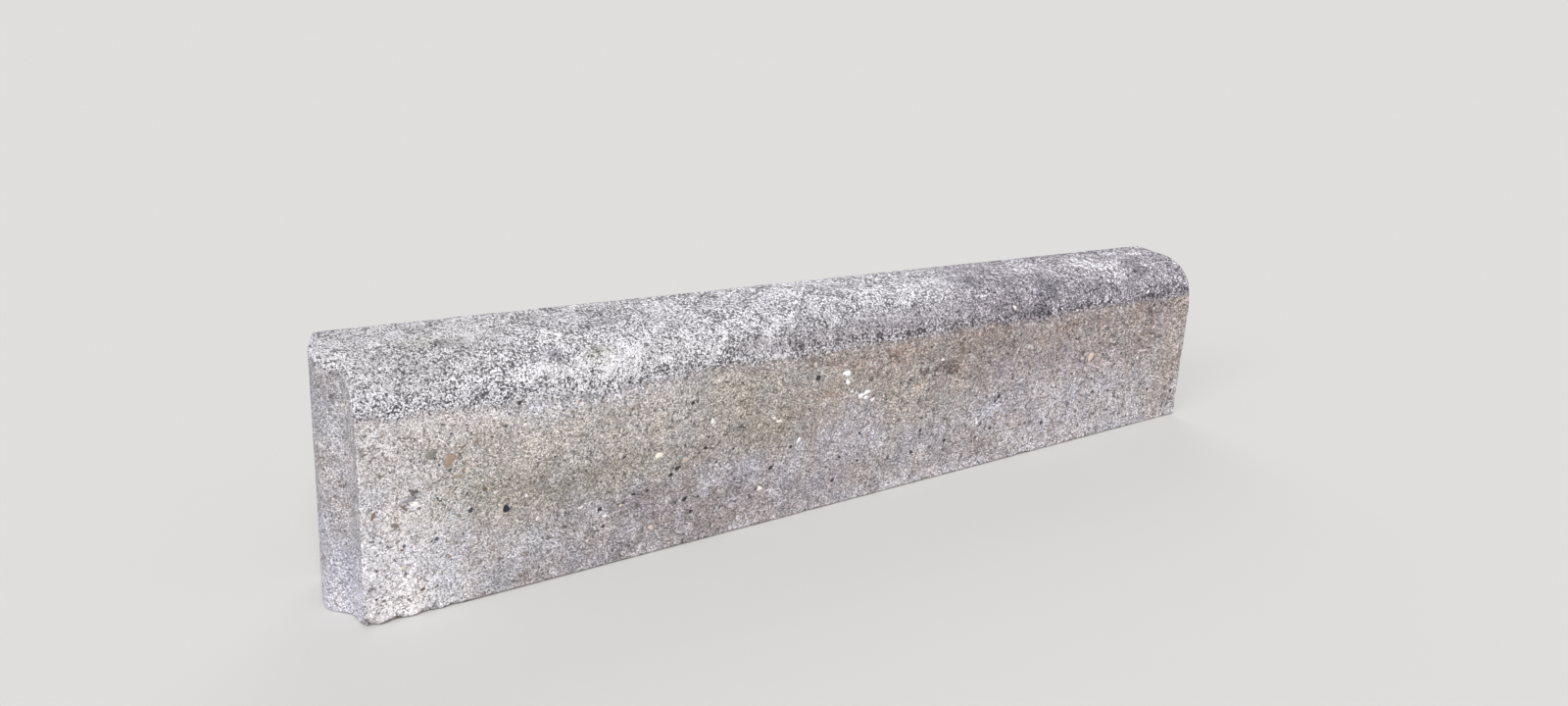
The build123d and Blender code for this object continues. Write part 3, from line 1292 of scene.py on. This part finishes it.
class ConcreteLayers(Graph):
    """The nodes of the weathered concrete, layer over layer."""

    def __init__(self, look: WeatheredConcrete) -> None:
        """Sets up the coordinates and noises that the layers share, and the bare concrete's colour.

        The grain is drawn out along the stone, and grows larger towards the plain end. It lightens and
        darkens the tone by powers of two, a little more on the fine faces and a little less at the tongue
        end.

        Args:
            look: the finish.
        """
        super().__init__(bpy.data.materials.new("weathered_concrete"))
        self.look = look
        where = self.place()
        along = self.node("SeparateXYZ", {"Vector": where}).outputs["X"]
        upright = self.fit(along, -look.grain_growth, 1.0 - look.grain_growth / 2)
        lengthwise, across = (self.times(upright, share) for share in look.drawn_out)
        scaling = self.node("CombineXYZ", {"X": lengthwise, "Y": across, "Z": upright}).outputs["Vector"]
        scaled = self.vector("MULTIPLY", where, scaling)
        self.ragged = self.shaken(scaled, look.shake_scale, look.shake_reach)
        self.aside = self.vector("ADD", self.ragged, (1.7, 0.9, 1.3))
        self.far = self.ease(along, look.far_span)
        self.fine = self.attribute("fine")
        self.grain = self.noise(self.ragged, look.grain_scale, roughness=0.85)
        self.sand, tint = self.cells(scaled, look.sand_scale)
        self.mottle = self.noise(self.ragged, look.blotch_scale, roughness=0.65)
        self.net = self.noise(self.ragged, look.speck_scale, 3.5, 0.75)
        near = self.ease(along, look.near_span, *look.near_contrast)
        self.strength = self.fit(self.fine, look.fine_contrast, near)
        grain = self.swing(self.grain, look.grain_contrast, look.grain_middle)
        shade = self.plus(self.swing(self.sand, look.sand_contrast), grain)
        shade = self.times(shade, self.strength)
        self.shade = self.plus(shade, self.swing(self.mottle, look.blotch_contrast))
        hue = self.blend(tint, (*look.cool, 1.0), (*look.warm, 1.0))
        self.light = self.lit(self.power(self.shade), hue)
        self.colour = self.lit(self.attribute("tone", "Color"), self.light)

    def lay(self, layer: Layer, noise: Socket, among: object = 1.0, light: object = (1.0,) * 4) -> Socket:
        """Lays one layer over the colour so far.

        Args:
            layer: what to lay on.
            noise: what decides where it shows.
            among: how much of it may show there.
            light: what its colour is multiplied by.

        Returns:
            Where it shows, 0 to 1, before its strength.
        """
        share = self.times(self.ease(noise, layer.span), among)
        colour = self.lit(paint(layer.colour), light)
        self.colour = self.blend(self.times(share, layer.strength), self.colour, colour)
        return share

    def lay_bloom_and_dirt(self) -> None:
        """Lays bloom on the grains that stand up, and dirt on those that lie low."""
        high, low = self.swing(self.mottle, 1.0), self.swing(self.grain, -2.6)
        self.lay(self.look.bloom, self.plus(self.attribute("bloom"), high), light=self.light)
        self.lay(self.look.dirt, self.plus(self.attribute("dirt"), low), light=self.light)

    def lay_flecks(self) -> None:
        """Lays on flecks and points, where noise is beyond a threshold."""
        look = self.look
        plain = self.ease(self.fine, (0.0, 1.0), *look.fleck_share)
        self.lay(look.brown_fleck, self.noise(self.ragged, look.brown_scale))
        self.lay(look.pale_fleck, self.noise(self.aside, look.pale_scale), plain)
        more_far_off = self.fit(self.far, look.far_flecks, self.noise(self.ragged, look.dark_scale))
        self.dark = self.lay(look.dark_fleck, more_far_off, plain)
        point = self.noise(self.aside, look.point_scale, 2.0)
        self.lay(look.dark_point, point)
        self.lay(look.pale_point, point)

    def lay_crust(self) -> None:
        """Lays on the crust, granular at its edge, and its specks, where noise is below a threshold."""
        look = self.look
        ragged_edge = self.plus(self.attribute("crust"), self.swing(self.net, look.crust_raggedness))
        self.cover = self.ease(ragged_edge, look.crust_span)
        faint = self.power(self.times(self.shade, self.fit(self.far, *look.crust_contrast)))
        crust = self.lit(self.attribute("crust_tone", "Color"), faint)
        self.colour = self.blend(self.cover, self.colour, crust)
        broken = self.plus(self.net, self.swing(self.sand, look.speck_sand))
        below = self.sum("SUBTRACT", self.fit(self.attribute("speck"), *look.speck_level), broken)
        near_black = self.ease(self.fit(self.attribute("grime"), look.grime_strength, below), look.black_span)
        black = self.sum("MAXIMUM", near_black, self.times(self.far, look.far_blackness))
        speck = self.lit(self.blend(black, paint(look.grey_speck), paint(look.black_speck)), faint)
        share = self.times(self.ease(below, look.speck_span), look.speck_strength)
        self.colour = self.blend(share, self.colour, speck)

    def lay_pores(self) -> None:
        """Darkens the pits with painted shade, with a ragged rim."""
        self.lay(self.look.pore, self.plus(self.attribute("pit"), self.swing(self.grain, 1.0)))

    def height(self) -> Socket:
        """The fine relief: grain and sand, the crust's net on them, and hollows at the dark flecks.

        Returns:
            The height, about 0 to 1.
        """
        look = self.look
        height = self.plus(self.times(self.grain, look.grain_height), self.times(self.sand, look.sand_height))
        height = self.plus(height, self.times(self.times(self.net, self.cover), look.net_height))
        hollow = self.times(self.dark, look.fleck_hollow)
        return self.sum("SUBTRACT", self.times(height, self.strength), hollow)


@dataclass(frozen=True)
class GravelFinish:
    """The broken and water-worn grains of the aggregate, and the discs of painted shade over the pits, each
    in its own colour with a faint mottle.
    """

    mottle_scale: float = 700.0
    contrast: float = 1.6
    relief: float = 0.0002
    roughness: float = 0.75

    def material(self) -> bpy.types.Material:
        """Builds the material, which reads the mesh's tone attribute.

        Returns:
            The material.
        """
        graph = Graph(bpy.data.materials.new("aggregate_gravel"))
        mottle = graph.noise(graph.place(), self.mottle_scale)
        light = graph.power(graph.swing(mottle, self.contrast))
        colour = graph.lit(graph.attribute("tone", "Color"), light)
        return graph.finish(colour, mottle, self.relief, self.roughness)


def make_piece(name: str, points: Array, faces: list, material: bpy.types.Material) -> bpy.types.Object:
    """Makes a smooth-shaded mesh object at the origin and links it.

    Args:
        name: the piece's name.
        points: its places in millimetres.
        faces: the point numbers of each face.
        material: its finish.

    Returns:
        The object.
    """
    mesh = bpy.data.meshes.new(name)
    mesh.from_pydata((points * MM).tolist(), [], faces)
    mesh.polygons.foreach_set("use_smooth", np.ones(len(mesh.polygons), bool))
    mesh.materials.append(material)
    mesh.update()
    piece = bpy.data.objects.new(name, mesh)
    bpy.context.scene.collection.objects.link(piece)
    mesh.calc_loop_triangles()
    log.info("%s has %d triangles", name, len(mesh.loop_triangles))
    return piece


def add_number(piece: bpy.types.Object, name: str, values: Array) -> None:
    """Stores one number for each point of a mesh."""
    piece.data.attributes.new(name, "FLOAT", "POINT").data.foreach_set("value", values.astype(np.float32))


def add_colour(piece: bpy.types.Object, name: str, colours: Array) -> None:
    """Stores one colour for each point of a mesh, from colours as a screen shows them."""
    rgba = np.concatenate([linear(colours), np.ones((len(colours), 1))], 1).astype(np.float32)
    piece.data.attributes.new(name, "FLOAT_COLOR", "POINT").data.foreach_set("color", rgba.ravel())


def dress(piece: bpy.types.Object) -> None:
    """Says that a piece rides on the stone's body and stands for its CAD node, which it hides.

    Args:
        piece: the piece, already in the scene.
    """
    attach(piece, BODY)
    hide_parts(NODE)


@dataclass
class CastStone:
    """The stone itself, one closed skin from end to end."""

    shape: KerbShape
    relief: Relief
    finish: WeatheredConcrete = WeatheredConcrete()
    end_span: Span = (0.45, 0.85)
    crust_fade: float = 10.0
    crust_limit: float = 1.5

    def build(self) -> bpy.types.Object:
        """Shapes, wears and dresses the stone.

        Returns:
            The piece.
        """
        skin = SkinGrid(self.shape).skin()
        ArrisWear(self.shape).wear(skin)
        normals = skin.normals()
        end_share = smooth_step(np.abs(normals[:, 0]), *self.end_span)
        zones = Zones(self.shape, skin.points, skin.around, end_share)
        pit_field = self.relief.pit_field(zones)
        worn = skin.points - self.relief.depth(zones, pit_field)[:, None] * normals
        piece = make_piece("kerb_stone_cast", worn, skin.faces.tolist(), self.finish.material())
        weathering = Weathering(zones)
        add_colour(piece, "tone", weathering.tone())
        add_colour(piece, "crust_tone", weathering.crust_tone())
        limit = self.crust_limit
        crust = np.clip(zones.head_height / self.crust_fade, -limit, limit)
        numbers = {
            "crust": crust * (1.0 - zones.bed) - limit * zones.bed,
            "speck": weathering.specks(),
            "grime": weathering.grime(),
            "bloom": weathering.bloom(),
            "dirt": weathering.dirt(),
            # How far inside a pit each place is, which the material darkens as painted shade
            "pit": pit_field,
            "fine": np.maximum(zones.end, zones.bed) * (1.0 - zones.head),
        }
        for name, values in numbers.items():
            add_number(piece, name, values)
        dress(piece)
        return piece


@dataclass(frozen=True)
class Gravel:
    """The colour of one sort of grain, and how common it is."""

    colour: Colour
    share: float


@dataclass(frozen=True)
class Pebble:
    """A grain: its place along and around, its length and width, the lean of its length, and its colour."""

    along: float
    around: float
    length: float
    width: float
    lean: float
    colour: Colour


@dataclass
class Grains:
    """Many grains: their places along and around, lengths, widths, leans in degrees, and colours."""

    along: Array
    around: Array
    length: Array
    width: Array
    lean: Array
    colour: Array


@dataclass
class Aggregate:
    """The grains that the worn surface lays bare: some large ones that stand out, and many small ones; also
    dark discs of painted shade over the pits.
    """

    shape: KerbShape
    relief: Relief
    finish: GravelFinish = GravelFinish()
    sorts: tuple[Gravel, ...] = made(
        Gravel,
        ((226, 222, 218), 0.30), ((158, 154, 152), 0.16), ((150, 136, 124), 0.10),
        ((198, 184, 170), 0.09), ((92, 90, 94), 0.14), ((208, 186, 178), 0.08), ((140, 138, 120), 0.08),
    )
    pebbles: tuple[Pebble, ...] = made(
        Pebble,
        (52.3, 122.3, 9.2, 8, 25, (140, 138, 132)), (65.5, 115.8, 12, 8.2, 58, (169, 148, 130)),
        (71, 102, 11, 2.4, 4, (160, 150, 128)), (79, 105, 5.2, 2.8, 80, (226, 216, 200)),
        (92, 87.5, 4.6, 3.4, 10, (116, 100, 84)), (37.5, 96.8, 7.2, 3.8, -55, (120, 110, 110)),
        (35, 90.8, 10.5, 2.8, 4, (150, 150, 156)), (39.5, 87, 6.6, 4.2, 10, (252, 248, 246)),
        (31.8, 85.5, 8.5, 2.2, -38, (138, 125, 115)), (9.8, 84.3, 7.4, 3.2, 64, (142, 119, 108)),
        (24.8, 74, 6.8, 4, -18, (136, 125, 122)), (80.8, 73, 4.6, 3.6, 30, (70, 72, 78)),
        (108.3, 68.5, 7, 6, 60, (44, 48, 58)), (54.5, 56.8, 3.2, 3, 0, (84, 88, 96)),
        (30.5, 56.8, 3.6, 2.2, 80, (92, 96, 100)), (42.8, 19.8, 5, 2.4, 30, (112, 96, 76)),
        (9.5, 20.5, 2.8, 2.2, 20, (92, 84, 72)), (30, 40, 5, 4, 20, (214, 204, 190)),
        (242.5, 86, 8.2, 5.6, 5, (250, 244, 232)), (295, 106.8, 5.4, 5, 40, (246, 244, 242)),
        (268.8, 76.8, 9.5, 5, 15, (198, 180, 170)), (171, 55.5, 5.8, 2.8, 10, (246, 236, 234)),
        (236, 23.5, 5.4, 5, 70, (222, 202, 192)), (192.5, 43.5, 4.2, 3.4, 10, (250, 246, 246)),
        (207, 49.5, 4, 2.4, 0, (226, 214, 196)), (444.5, 128.6, 10.5, 6.6, 12, (252, 252, 252)),
        (446, 120, 6.2, 5.6, 40, (252, 252, 250)), (464, 104, 8.6, 5, -14, (252, 252, 252)),
        (471.5, 106.6, 8, 5.2, 22, (252, 252, 252)), (470, 101.4, 6, 3.8, -5, (252, 252, 252)),
        (452, 110, 3.4, 2.6, 30, (252, 248, 244)), (479, 98, 6.5, 4, 15, (246, 242, 242)),
        (475, 117.8, 8.6, 2.4, 3, (104, 92, 86)), (367, 95, 7.2, 3.8, -12, (248, 242, 232)),
        (361, 99, 3.8, 2.8, -12, (246, 240, 228)), (390.8, 73, 8, 3.4, 58, (250, 248, 248)),
        (348.5, 34.8, 5.6, 5, 0, (252, 248, 244)), (505, 101.8, 5, 4, 0, (128, 132, 122)),
        (571, 125.5, 6, 3.4, 0, (246, 238, 232)), (524, 68.8, 5, 1.8, 0, (248, 246, 248)),
        (631, 48.8, 5, 3.4, 60, (250, 248, 248)), (634.5, 31, 3.2, 2.8, 60, (250, 248, 248)),
        (665, 49.8, 4.2, 3.4, 20, (248, 246, 246)), (656, 56, 4.4, 4, 20, (216, 200, 196)),
        (707.5, 121, 5.6, 5, 40, (218, 202, 196)), (813, 97.5, 13, 11, 60, (226, 202, 184)),
        (860.8, 125.5, 7.5, 2.4, 84, (218, 208, 198)), (904.5, 84.8, 6, 4, 60, (250, 248, 246)),
        (962.5, 104.3, 6.4, 3, 70, (224, 214, 200)), (720.8, 69.3, 3.8, 3, 0, (248, 246, 246)),
        (789.5, 68, 4, 2.6, 0, (246, 244, 244)), (743.8, 32.5, 5, 2.4, 20, (248, 246, 248)),
        (913.8, 163.5, 7, 3.4, 25, (252, 252, 252)), (678.8, 168, 5.4, 4.6, 30, (252, 242, 242)),
        (848.8, 119, 6, 4, -20, (116, 108, 106)),
    )
    # Painted shade: the colour, size and lean of the dark discs laid over the pits
    pit_core: Colour = (66, 62, 64)
    core_size: Span = (1.8, 1.3)
    core_lean: float = 20.0
    small_grains: int = 3600
    worn_grains: int = 420
    worn_along: Span = (72.0, 38.0)
    worn_around: Span = (92.0, 26.0)
    smallest: float = 1.3
    largest: float = 4.2
    slimness: Span = (0.45, 1.0)
    colour_spread: float = 9.0
    head_edge: float = 148.0
    back_edge: float = 262.0
    bed_gap: float = 4.0
    shoulder_gap: float = 5.0
    margins: Span = (8.0, 4.0)
    proud: Span = (0.12, 0.035)
    most_proud: float = 0.9
    sink: Span = (0.15, 0.05)
    # How much painted shade darkens each grain's rim, where it meets the paste
    rim_darkness: float = 0.3
    harmonics: tuple[Span, ...] = ((2, 0.14), (3, 0.13), (5, 0.08), (7, 0.05))
    raggedness: Span = (1.15, 1.9)
    middling: float = 155.0
    strong_contrast: float = 80.0
    seed: int = 17

    def build(self) -> bpy.types.Object:
        """Makes all the grains, and the discs of painted shade over the pits, as one piece, each a low closed
        dome set into the surface.

        Returns:
            The piece.
        """
        named = self._domes(self._named(), around_steps=18, rings=5)
        small = self._domes(self._scattered(), around_steps=8, rings=2)
        points = np.concatenate([named[0], small[0]])
        faces = named[1] + [[number + len(named[0]) for number in face] for face in small[1]]
        piece = make_piece("aggregate", points, faces, self.finish.material())
        add_colour(piece, "tone", np.concatenate([named[2], small[2]]))
        dress(piece)
        return piece

    def _named(self) -> Grains:
        """The large grains, and dark discs of painted shade over the pits.

        Returns:
            The grains.
        """
        # Painted shade: a dark disc over each pit, made like a grain
        pit_shades = []
        for pit in self.relief.pits:
            length, width = (pit.radius * share for share in self.core_size)
            pit_shades.append(Pebble(pit.along, pit.around, length, width, self.core_lean, self.pit_core))
        rows = [astuple(grain) for grain in (*self.pebbles, *pit_shades)]
        return Grains(*(np.array(column, float) for column in zip(*rows)))

    def _scattered(self) -> Grains:
        """The small grains: most are drawn evenly over the long sides, the rest where the skin is worn most.

        Returns:
            The grains that don't lie under the crust, on the bed or past the tongue's shoulders.
        """
        rng = np.random.default_rng(self.seed)
        count, whole = self.small_grains + self.worn_grains, self.shape.section.reach[-1]
        length = self.shape.plain_end - self.shape.shoulder
        even = np.arange(count) < self.small_grains
        ranges = zip(self.margins, (length, whole), (self.worn_along, self.worn_around))
        along, around = (
            np.where(even, rng.uniform(margin, extent - margin, count), rng.normal(*worn, count))
            for margin, extent, worn in ranges
        )
        size = self.smallest + (self.largest - self.smallest) * rng.uniform(0.0, 1.0, count) ** 4
        slim = rng.uniform(*self.slimness, count)
        lean = rng.uniform(-90.0, 90.0, count)
        shares = np.array([sort.share for sort in self.sorts])
        chosen = rng.choice(len(self.sorts), count, p=shares / shares.sum())
        colour = np.array([sort.colour for sort in self.sorts])[chosen]
        colour = colour + rng.normal(0.0, self.colour_spread, (count, 1))
        on_front = (around > self.bed_gap) & (around < self.head_edge)
        on_back = (around > self.back_edge) & (around < self.shape.section.middles[4] - self.bed_gap)
        keep = (on_front | on_back) & (along > self.shoulder_gap)
        return Grains(*(values[keep] for values in (along, around, size, size * slim, lean, colour)))

    def _domes(self, grains: Grains, around_steps: int, rings: int) -> tuple[Array, list, Array]:
        """Builds closed domes on the worn surface.

        At share r of its radius and angle t, a dome's point is r R(t) (cos t length / 2, sin t width / 2) in
        the surface's plane, where R(t) wavers by a few random harmonics, and its height is
        (proud + sink) * sqrt(1 - r^4) - sink. The shares are the sines of even steps, so that the rings crowd
        at the rim. One more point under the middle closes it. No grain stands out past the mould's face.

        Args:
            grains: the grains.
            around_steps: points on each ring.
            rings: how many rings.

        Returns:
            The points, the faces and the points' colours, darkened at each rim by painted shade.
        """
        count = len(grains.along)
        rng = np.random.default_rng(self.seed + count)
        plane, side = self.shape.section.at(grains.around)
        middle = np.insert(plane, 0, grains.along + self.shape.shoulder, axis=1)
        normal = np.insert(side, 0, 0.0, axis=1)
        zones = Zones(self.shape, middle, grains.around, np.zeros(count))
        depth = self.relief.depth(zones, np.full(count, -1.0))
        middle = middle - depth[:, None] * normal
        ahead = np.tile([1.0, 0.0, 0.0], (count, 1))
        angle = np.radians(grains.lean)[:, None]
        first = np.cos(angle) * ahead - np.sin(angle) * np.cross(ahead, normal)
        second = np.cross(normal, first)
        turn = np.linspace(0.0, 2.0 * np.pi, around_steps, endpoint=False)
        bright_or_dark = np.abs(np.mean(grains.colour, axis=1) - self.middling) > self.strong_contrast
        broken = np.where(bright_or_dark, self.raggedness[1], self.raggedness[0])[:, None]
        waver = np.ones((count, around_steps))
        for harmonic, size in self.harmonics:
            phase = rng.uniform(0.0, 2.0 * np.pi, (count, 1))
            waver += broken * size * rng.uniform(0.2, 1.0, (count, 1)) * np.cos(harmonic * turn + phase)
        radius = np.sin(np.linspace(0.0, np.pi / 2, rings + 1)[1:])
        proud, sink = (least + more * grains.width for least, more in (self.proud, self.sink))
        proud = np.minimum(proud, self.most_proud * depth)
        level = (proud + sink)[:, None] * np.sqrt(1.0 - np.minimum(radius, 1.0) ** 4) - sink[:, None]
        u, v = (
            radius[None, :, None] * (waver * wave)[:, None] * (reach / 2)[:, None, None]
            for wave, reach in ((np.cos(turn), grains.length), (np.sin(turn), grains.width))
        )
        w = np.broadcast_to(level[:, :, None], u.shape)
        axes = ((u, first), (v, second), (w, normal))
        shell = sum(values.reshape(count, -1, 1) * axis[:, None] for values, axis in axes)
        top, bottom = proud[:, None] * normal, -2.0 * sink[:, None] * normal
        points = middle[:, None] + np.concatenate([top[:, None], shell, bottom[:, None]], 1)
        each = points.shape[1]
        faces = self._dome_faces(around_steps, rings)
        numbered = [[number + each * index for number in face] for index in range(count) for face in faces]
        # Painted shade: each dome's colour darkens towards its rim, where it meets the paste
        share = np.r_[0.0, np.repeat(radius, around_steps), 1.0]
        rim_shaded = grains.colour[:, None] * (1.0 - self.rim_darkness * share[:, None] ** 10)
        return points.reshape(-1, 3), numbered, rim_shaded.reshape(-1, 3)

    @staticmethod
    def _dome_faces(around_steps: int, rings: int) -> list[list[int]]:
        """Faces of one dome, whose points are its top, its rings from the inside out, and its bottom.

        Args:
            around_steps: points on each ring.
            rings: how many rings.

        Returns:
            The point numbers of each face.
        """
        steps = [(step, (step + 1) % around_steps) for step in range(around_steps)]
        starts = [1 + ring * around_steps for ring in range(rings)]
        last = 1 + rings * around_steps
        top = [[0, 1 + step, 1 + ahead] for step, ahead in steps]
        bands = [
            [inner + step, outer + step, outer + ahead, inner + ahead]
            for inner, outer in zip(starts, starts[1:])
            for step, ahead in steps
        ]
        bottom = [[starts[-1] + step, last, starts[-1] + ahead] for step, ahead in steps]
        return top + bands + bottom


class Shade(Enum):
    """The studio's colours, as a screen shows them."""

    FLOOR = (214, 213, 211)
    BOUNCE = (192, 191, 190)
    SKY = (255, 255, 255)
    BACKDROP = (223, 222, 220)


@dataclass(frozen=True)
class Lamp:
    """A soft light from far off: the way to it, its strength, and how wide it looks in degrees."""

    name: str
    towards: tuple[float, float, float]
    strength: float
    width: float

    def build(self) -> None:
        """Makes the lamp and turns it to the stone."""
        light = bpy.data.lights.new(self.name, "SUN")
        light.energy = self.strength
        light.angle = np.radians(self.width)
        lamp = bpy.data.objects.new(self.name, light)
        lamp.location = self.towards
        lamp.rotation_euler = Vector(self.towards).to_track_quat("Z", "Y").to_euler()
        bpy.context.scene.collection.objects.link(lamp)


@dataclass
class Studio:
    """A wide pale floor, soft light from all round, three broad lamps, and the camera."""

    floor_radius: float = 60.0
    sky_strength: float = 0.45
    lamps: tuple[Lamp, ...] = (
        Lamp("key_light", (-0.95, -2.0, 2.1), 2.15, 24.0),
        Lamp("fill_light", (-3.0, -0.9, 1.4), 0.72, 26.0),
        Lamp("back_light", (1.6, 2.4, 1.5), 0.6, 40.0),
    )
    camera_place: tuple[float, float, float] = (-0.7161, -0.77785, 0.4103)
    camera_right: tuple[float, float, float] = (0.78767, -0.61388, 0.05224)
    camera_down: tuple[float, float, float] = (-0.12067, -0.23687, -0.96402)
    camera_lens: float = 25.385
    sensor_width: float = 36.0

    def build(self) -> None:
        """Sets up the floor, the light, the camera and the view transform."""
        self._floor()
        self._sky()
        for lamp in self.lamps:
            lamp.build()
        self._camera()
        bpy.context.scene.view_settings.view_transform = "Standard"
        log.info("studio is set up")

    def _floor(self) -> None:
        """The floor: a disc whose rim is (radius cos t, radius sin t, 0), in triangles from its middle."""
        turn = np.linspace(0.0, 2.0 * np.pi, 96, endpoint=False)
        rim = self.floor_radius * np.stack([np.cos(turn), np.sin(turn), 0.0 * turn], -1)
        numbers = 1 + np.arange(len(turn))
        faces = np.stack([np.zeros(len(turn), int), numbers, np.roll(numbers, -1)], -1)
        points = np.insert(rim, 0, 0.0, axis=0) / MM
        floor = make_piece("studio_floor", points, faces.tolist(), self._floor_paint())

    def _floor_paint(self) -> bpy.types.Material:
        """Matt paint that looks pale to the camera, and throws less light back on the stone.

        Returns:
            The material.
        """
        graph = Graph(bpy.data.materials.new("studio_paint"))
        colour = graph.blend(self._seen(graph), paint(Shade.BOUNCE.value), paint(Shade.FLOOR.value))
        shader = graph.node("BsdfDiffuse", {"Color": colour})
        graph.node("OutputMaterial", {"Surface": shader.outputs["BSDF"]})
        return graph.owner

    @staticmethod
    def _seen(graph: Graph) -> Socket:
        """1 for what the camera, a reflection or clear glass sees, and 0 for light on the stone.

        Args:
            graph: the nodes to add to.

        Returns:
            The number.
        """
        path = graph.node("LightPath").outputs
        seen = graph.sum("MAXIMUM", path["Is Camera Ray"], path["Is Glossy Ray"])
        return graph.sum("MAXIMUM", seen, path["Is Transmission Ray"])

    def _sky(self) -> None:
        """Even white light from all round, behind which the camera sees a pale backdrop."""
        world = bpy.data.worlds.new("studio_sky")
        graph = Graph(world)
        seen = self._seen(graph)
        colour = graph.blend(seen, paint(Shade.SKY.value), paint(Shade.BACKDROP.value))
        strength = graph.fit(seen, 1.0 - self.sky_strength, self.sky_strength)
        background = graph.node("Background", {"Color": colour, "Strength": strength})
        graph.node("OutputWorld", {"Surface": background.outputs["Background"]})
        bpy.context.scene.world = world

    def _camera(self) -> None:
        """The camera, where the photograph's own perspective puts it."""
        data = bpy.data.cameras.new("camera")
        data.sensor_fit = "HORIZONTAL"
        data.sensor_width = self.sensor_width
        data.lens = self.camera_lens
        camera = bpy.data.objects.new("camera", data)
        right = Vector(self.camera_right).normalized()
        up = -Vector(self.camera_down).normalized()
        back = right.cross(up).normalized()
        turned = Matrix((right, back.cross(right), back)).transposed().to_4x4()
        camera.matrix_world = Matrix.Translation(self.camera_place) @ turned
        bpy.context.scene.collection.objects.link(camera)
        bpy.context.scene.camera = camera


def main() -> None:
    """Builds the stone, its aggregate and the studio, in that order."""
    shape = KerbShape()
    relief = Relief(shape)
    CastStone(shape, relief).build()
    Aggregate(shape, relief).build()
    Studio().build()


if __name__ == "__main__":
    main()
